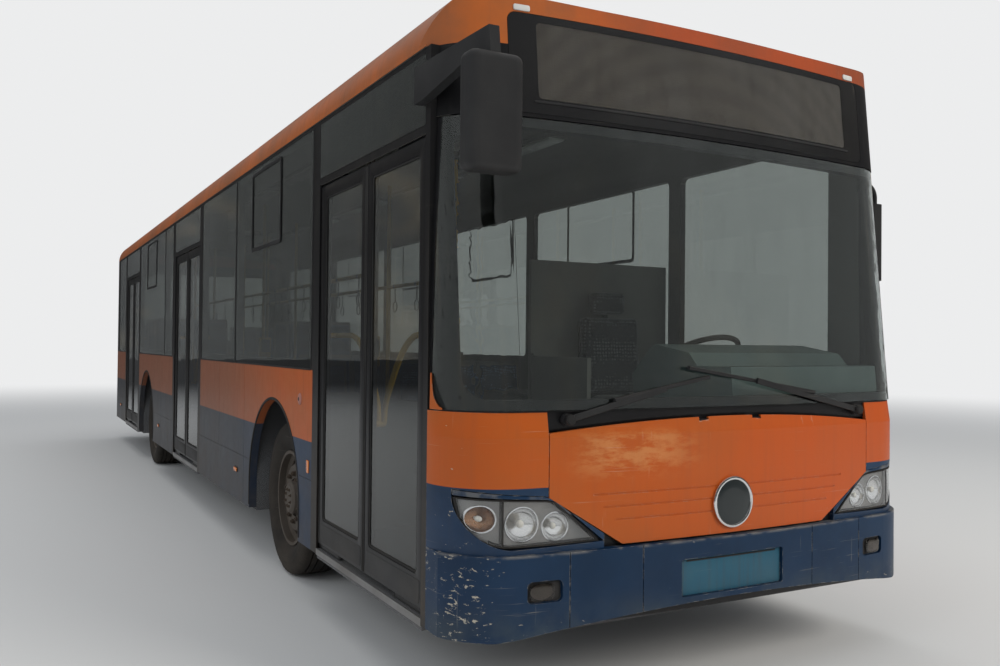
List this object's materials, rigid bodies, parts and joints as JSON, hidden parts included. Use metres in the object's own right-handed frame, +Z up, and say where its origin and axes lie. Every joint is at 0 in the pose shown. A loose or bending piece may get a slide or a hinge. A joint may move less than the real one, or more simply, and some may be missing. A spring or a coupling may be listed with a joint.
{
  "type": "city bus",
  "caption": "Low-floor single-deck city bus with three double doors, a raked windscreen, destination box, saloon and cab.",
  "frame": {"origin": "on the road below the middle of the bus, measured with its mirrors", "axes": "+Z up, +Y towards the rear, so the front looks to -Y, and the doors are at -X"},
  "size_m": [2.8, 12.2, 3.0222],
  "materials": {
    "orange_paint": "faded orange enamel, dusty and chipped",
    "roof_paint": "dusty beige-grey enamel",
    "blue_paint": "blue enamel, scuffed to pale primer at the corners",
    "black_paint": "black, semi-gloss",
    "door_frame": "black frames with clear panes",
    "glass": "clear laminated glass",
    "tinted_glass": "dark tinted glass",
    "sign_glass": "dark pane over a blank display",
    "lamp_lens": "moulded clear lens",
    "black_plastic": "grained black",
    "dash_plastic": "grained grey",
    "grey_panel": "light grey lining",
    "seat_shell": "moulded grey",
    "hatch_plastic": "pale, weathered",
    "seat_fabric": "blue woven moquette",
    "driver_fabric": "black woven",
    "floor_covering": "dark speckled sheet",
    "aluminium": "brushed, scuffed",
    "yellow_paint": "yellow powder coat",
    "chassis_paint": "dusty dark grey",
    "wheel_steel": "grey enamel under brown dust",
    "tyre": "dusty black",
    "cast_iron": "oily grey"
  },
  "bodies": {
    "body": {"axles": "chassis_paint", "cab_floor": "floor_covering", "cab_partition": "grey_panel", "dashboard": "dash_plastic", "destination_sign": "sign_glass", "door_headers": "grey_panel", "door_sills": "aluminium", "driver_seat": "driver_fabric", "engine_block": "cast_iron", "engine_cover": "grey_panel", "floor_deck": "floor_covering", "front_bumper": "blue_paint", "front_corners": "orange_paint", "front_dome": "orange_paint", "front_frame": "black_paint", "handrails": "yellow_paint", "lamps": "lamp_lens", "mirrors": "black_plastic", "passenger_seats": "seat_shell", "rear_body": "orange_paint", "rear_bumper": "blue_paint", "roof": "roof_paint", "seat_cushions": "seat_fabric", "side_wall_door": "orange_paint", "side_wall_road": "orange_paint", "underframe": "chassis_paint", "wheel_boxes": "floor_covering", "window_glass": "tinted_glass", "windscreen": "glass", "wipers": "black_plastic"},
    "knuckle_door": {"knuckle_door": "chassis_paint"},
    "wheel_front_door": {"tyre_front_door": "tyre", "rim_front_door": "wheel_steel"},
    "wheels_rear_door": {"tyres_rear_door": "tyre", "rims_rear_door": "wheel_steel"},
    "knuckle_road": {"knuckle_road": "chassis_paint"},
    "wheel_front_road": {"tyre_front_road": "tyre", "rim_front_road": "wheel_steel"},
    "wheels_rear_road": {"tyres_rear_road": "tyre", "rims_rear_road": "wheel_steel"},
    "steering_wheel": {"steering_wheel": "black_plastic"},
    "front_flap": {"front_flap": "orange_paint"},
    "engine_lid": {"engine_lid": "blue_paint"},
    "roof_hatch_front": {"roof_hatch_front": "hatch_plastic"},
    "roof_hatch_rear": {"roof_hatch_rear": "hatch_plastic"},
    "cab_door": {"cab_door": "grey_panel"},
    "door_front_arm_a": {"door_front_arm_a": "black_paint"},
    "door_front_leaf_a": {"door_front_leaf_a": "door_frame"},
    "door_front_arm_b": {"door_front_arm_b": "black_paint"},
    "door_front_leaf_b": {"door_front_leaf_b": "door_frame"},
    "door_middle_arm_a": {"door_middle_arm_a": "black_paint"},
    "door_middle_leaf_a": {"door_middle_leaf_a": "door_frame"},
    "door_middle_arm_b": {"door_middle_arm_b": "black_paint"},
    "door_middle_leaf_b": {"door_middle_leaf_b": "door_frame"},
    "door_rear_arm_a": {"door_rear_arm_a": "black_paint"},
    "door_rear_leaf_a": {"door_rear_leaf_a": "door_frame"},
    "door_rear_arm_b": {"door_rear_arm_b": "black_paint"},
    "door_rear_leaf_b": {"door_rear_leaf_b": "door_frame"}
  },
  "joints": [
    {"name": "steer_door", "type": "hinge", "parent": "body", "child": "knuckle_door", "pos_m": [-0.93, -3.12, 0.4785], "axis": [0, 0, 1], "range_deg": [-45, 45]},
    {"name": "roll_front_door", "type": "hinge", "parent": "knuckle_door", "child": "wheel_front_door", "pos_m": [-1.05, -3.12, 0.4785], "axis": [1, 0, 0], "continuous": true},
    {"name": "roll_rear_door", "type": "hinge", "parent": "body", "child": "wheels_rear_door", "pos_m": [-1.052, 2.725, 0.4785], "axis": [1, 0, 0], "continuous": true},
    {"name": "steer_road", "type": "hinge", "parent": "body", "child": "knuckle_road", "pos_m": [0.93, -3.12, 0.4785], "axis": [0, 0, 1], "range_deg": [-45, 45]},
    {"name": "roll_front_road", "type": "hinge", "parent": "knuckle_road", "child": "wheel_front_road", "pos_m": [1.05, -3.12, 0.4785], "axis": [1, 0, 0], "continuous": true},
    {"name": "roll_rear_road", "type": "hinge", "parent": "body", "child": "wheels_rear_road", "pos_m": [1.052, 2.725, 0.4785], "axis": [1, 0, 0], "continuous": true},
    {"name": "steering_wheel_turn", "type": "hinge", "parent": "body", "child": "steering_wheel", "pos_m": [0.64, -4.89, 1.405], "axis": [0, 0.4695, 0.8829], "range_deg": [-900, 900]},
    {"name": "front_flap_hinge", "type": "hinge", "parent": "body", "child": "front_flap", "pos_m": [0, -5.8335, 1.147], "axis": [-1, 0, 0], "range_deg": [0, 75]},
    {"name": "engine_lid_hinge", "type": "hinge", "parent": "body", "child": "engine_lid", "pos_m": [0, 6.089, 1.229], "axis": [1, 0, 0], "range_deg": [0, 80]},
    {"name": "roof_hatch_front_hinge", "type": "hinge", "parent": "body", "child": "roof_hatch_front", "pos_m": [0, -3.108, 2.9962], "axis": [1, 0, 0], "range_deg": [0, 35]},
    {"name": "roof_hatch_rear_hinge", "type": "hinge", "parent": "body", "child": "roof_hatch_rear", "pos_m": [0, 3.092, 2.9962], "axis": [1, 0, 0], "range_deg": [0, 35]},
    {"name": "cab_door_hinge", "type": "hinge", "parent": "body", "child": "cab_door", "pos_m": [0.163, -3.904, 1], "axis": [0, 0, -1], "range_deg": [0, 90]},
    {"name": "door_front_arm_a_turn", "type": "hinge", "parent": "body", "child": "door_front_arm_a", "pos_m": [-1.245, -5.468, 1.3], "axis": [0, 0, -1], "range_deg": [0, 85]},
    {"name": "door_front_leaf_a_turn", "type": "hinge", "parent": "door_front_arm_a", "child": "door_front_leaf_a", "pos_m": [-1.245, -5.1235, 1.3], "axis": [0, 0, -1], "range_deg": [-170, 0]},
    {"name": "door_front_arm_b_turn", "type": "hinge", "parent": "body", "child": "door_front_arm_b", "pos_m": [-1.245, -4.032, 1.3], "axis": [0, 0, 1], "range_deg": [0, 85]},
    {"name": "door_front_leaf_b_turn", "type": "hinge", "parent": "door_front_arm_b", "child": "door_front_leaf_b", "pos_m": [-1.245, -4.3765, 1.3], "axis": [0, 0, 1], "range_deg": [-170, 0]},
    {"name": "door_middle_arm_a_turn", "type": "hinge", "parent": "body", "child": "door_middle_arm_a", "pos_m": [-1.245, -0.615, 1.3], "axis": [0, 0, -1], "range_deg": [0, 85]},
    {"name": "door_middle_leaf_a_turn", "type": "hinge", "parent": "door_middle_arm_a", "child": "door_middle_leaf_a", "pos_m": [-1.245, -0.2945, 1.3], "axis": [0, 0, -1], "range_deg": [-170, 0]},
    {"name": "door_middle_arm_b_turn", "type": "hinge", "parent": "body", "child": "door_middle_arm_b", "pos_m": [-1.245, 0.725, 1.3], "axis": [0, 0, 1], "range_deg": [0, 85]},
    {"name": "door_middle_leaf_b_turn", "type": "hinge", "parent": "door_middle_arm_b", "child": "door_middle_leaf_b", "pos_m": [-1.245, 0.4045, 1.3], "axis": [0, 0, 1], "range_deg": [-170, 0]},
    {"name": "door_rear_arm_a_turn", "type": "hinge", "parent": "body", "child": "door_rear_arm_a", "pos_m": [-1.245, 3.495, 1.3], "axis": [0, 0, -1], "range_deg": [0, 85]},
    {"name": "door_rear_leaf_a_turn", "type": "hinge", "parent": "door_rear_arm_a", "child": "door_rear_leaf_a", "pos_m": [-1.245, 3.8155, 1.3], "axis": [0, 0, -1], "range_deg": [-170, 0]},
    {"name": "door_rear_arm_b_turn", "type": "hinge", "parent": "body", "child": "door_rear_arm_b", "pos_m": [-1.245, 4.835, 1.3], "axis": [0, 0, 1], "range_deg": [0, 85]},
    {"name": "door_rear_leaf_b_turn", "type": "hinge", "parent": "door_rear_arm_b", "child": "door_rear_leaf_b", "pos_m": [-1.245, 4.5145, 1.3], "axis": [0, 0, 1], "range_deg": [-170, 0]}
  ],
  "couplings": [
    {"joint": "steer_road", "follows": "steer_door", "ratio": 1},
    {"joint": "steering_wheel_turn", "follows": "steer_door", "ratio": 20},
    {"joint": "door_front_leaf_a_turn", "follows": "door_front_arm_a_turn", "ratio": -2},
    {"joint": "door_front_leaf_b_turn", "follows": "door_front_arm_b_turn", "ratio": -2},
    {"joint": "door_middle_leaf_a_turn", "follows": "door_middle_arm_a_turn", "ratio": -2},
    {"joint": "door_middle_leaf_b_turn", "follows": "door_middle_arm_b_turn", "ratio": -2},
    {"joint": "door_rear_leaf_a_turn", "follows": "door_rear_arm_a_turn", "ratio": -2},
    {"joint": "door_rear_leaf_b_turn", "follows": "door_rear_arm_b_turn", "ratio": -2}
  ]
}
